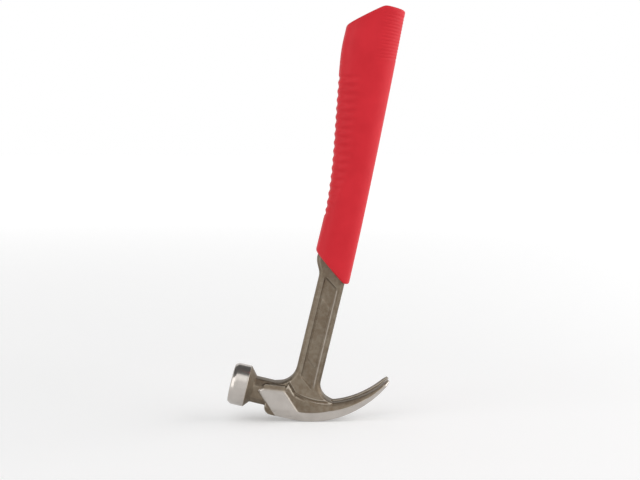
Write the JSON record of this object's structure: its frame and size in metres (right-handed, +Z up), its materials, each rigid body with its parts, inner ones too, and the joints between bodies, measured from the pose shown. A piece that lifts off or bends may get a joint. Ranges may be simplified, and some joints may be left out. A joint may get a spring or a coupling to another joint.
{
  "type": "curved claw hammer",
  "caption": "Curved claw hammer: one-piece forged steel head, I-beam shank and tang with a thick ribbed soft grip, leaning on its claws.",
  "frame": {"origin": "on the supporting surface, below the middle of the part's box, where the tool leans on the outer curve of its claws", "axes": "+Z up, with the shank leaning 13.5 degrees from it towards +X; -X is the side of the striking face, +X the side of the claws; Y is the tool's thickness"},
  "size_m": [0.1422, 0.0338, 0.3296],
  "materials": {
    "forged_steel": "as forged, with ground and polished faces",
    "magnet": "nickel plated",
    "stiff_core": "moulded",
    "soft_grip": "satin moulded"
  },
  "bodies": {
    "root": {"steel_forging": "forged_steel", "nail_magnet": "magnet", "grip_core": "stiff_core", "grip_skin": "soft_grip"}
  },
  "joints": []
}
